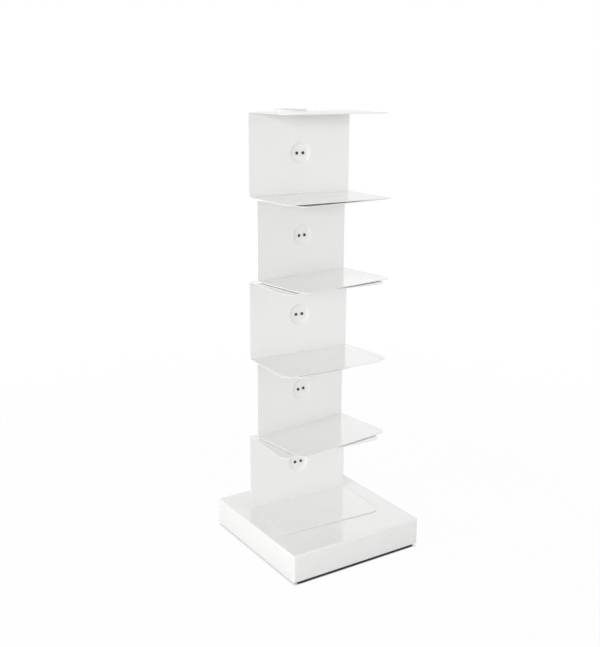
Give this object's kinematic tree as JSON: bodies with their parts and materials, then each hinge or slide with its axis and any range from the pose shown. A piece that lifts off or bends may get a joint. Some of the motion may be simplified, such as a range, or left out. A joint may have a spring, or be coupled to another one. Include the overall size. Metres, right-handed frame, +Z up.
{
  "type": "column bookcase",
  "caption": "White folded-steel column bookcase: C-shaped open tiers stacked on a round rear post, each swivelling about it, over a square weighted base.",
  "frame": {"origin": "on the floor, under the middle of the square base", "axes": "+Z up along the post, -Y towards the open front, +X to the right seen from the front"},
  "size_m": [0.52, 0.52, 1.5052],
  "materials": {
    "white_enamel": "gloss",
    "black_plastic": "matte",
    "black_steel": "satin",
    "plain_steel": "satin",
    "pale_acetal": "satin"
  },
  "bodies": {
    "base": {"base_cover": "white_enamel", "base_plinth": "black_plastic", "base_ballast": "plain_steel", "post_flange": "plain_steel", "post_tube": "plain_steel", "post_spacer": "plain_steel", "post_cap": "black_plastic", "base_bracket_1": "plain_steel", "base_screw_1": "black_steel", "post_bolt_1": "black_steel", "base_bracket_2": "plain_steel", "base_screw_2": "black_steel", "post_bolt_2": "black_steel", "base_bracket_3": "plain_steel", "base_screw_3": "black_steel", "post_bolt_3": "black_steel", "base_bracket_4": "plain_steel", "base_screw_4": "black_steel", "post_bolt_4": "black_steel"},
    "tier_1": {"tier_1_shelf": "white_enamel", "tier_1_sleeve": "white_enamel", "tier_1_saddle": "white_enamel", "tier_1_bush_low": "pale_acetal", "tier_1_bush_high": "pale_acetal", "tier_1_screw_left": "black_steel", "tier_1_screw_right": "black_steel"},
    "tier_2": {"tier_2_shelf": "white_enamel", "tier_2_sleeve": "white_enamel", "tier_2_saddle": "white_enamel", "tier_2_bush_low": "pale_acetal", "tier_2_bush_high": "pale_acetal", "tier_2_screw_left": "black_steel", "tier_2_screw_right": "black_steel"},
    "tier_3": {"tier_3_shelf": "white_enamel", "tier_3_sleeve": "white_enamel", "tier_3_saddle": "white_enamel", "tier_3_bush_low": "pale_acetal", "tier_3_bush_high": "pale_acetal", "tier_3_screw_left": "black_steel", "tier_3_screw_right": "black_steel"},
    "tier_4": {"tier_4_shelf": "white_enamel", "tier_4_sleeve": "white_enamel", "tier_4_saddle": "white_enamel", "tier_4_bush_low": "pale_acetal", "tier_4_bush_high": "pale_acetal", "tier_4_screw_left": "black_steel", "tier_4_screw_right": "black_steel"},
    "tier_5": {"tier_5_shelf": "white_enamel", "tier_5_sleeve": "white_enamel", "tier_5_saddle": "white_enamel", "tier_5_bush_low": "pale_acetal", "tier_5_bush_high": "pale_acetal", "tier_5_screw_left": "black_steel", "tier_5_screw_right": "black_steel"}
  },
  "joints": [
    {"name": "tier_1_swivel", "type": "hinge", "parent": "base", "child": "tier_1", "pos_m": [0, 0.17745, 0.1061], "axis": [0, 0, 1], "continuous": true},
    {"name": "tier_2_swivel", "type": "hinge", "parent": "base", "child": "tier_2", "pos_m": [0, 0.17745, 0.3856], "axis": [0, 0, 1], "continuous": true},
    {"name": "tier_3_swivel", "type": "hinge", "parent": "base", "child": "tier_3", "pos_m": [0, 0.17745, 0.6651], "axis": [0, 0, 1], "continuous": true},
    {"name": "tier_4_swivel", "type": "hinge", "parent": "base", "child": "tier_4", "pos_m": [0, 0.17745, 0.9446], "axis": [0, 0, 1], "continuous": true},
    {"name": "tier_5_swivel", "type": "hinge", "parent": "base", "child": "tier_5", "pos_m": [0, 0.17745, 1.2241], "axis": [0, 0, 1], "continuous": true}
  ]
}
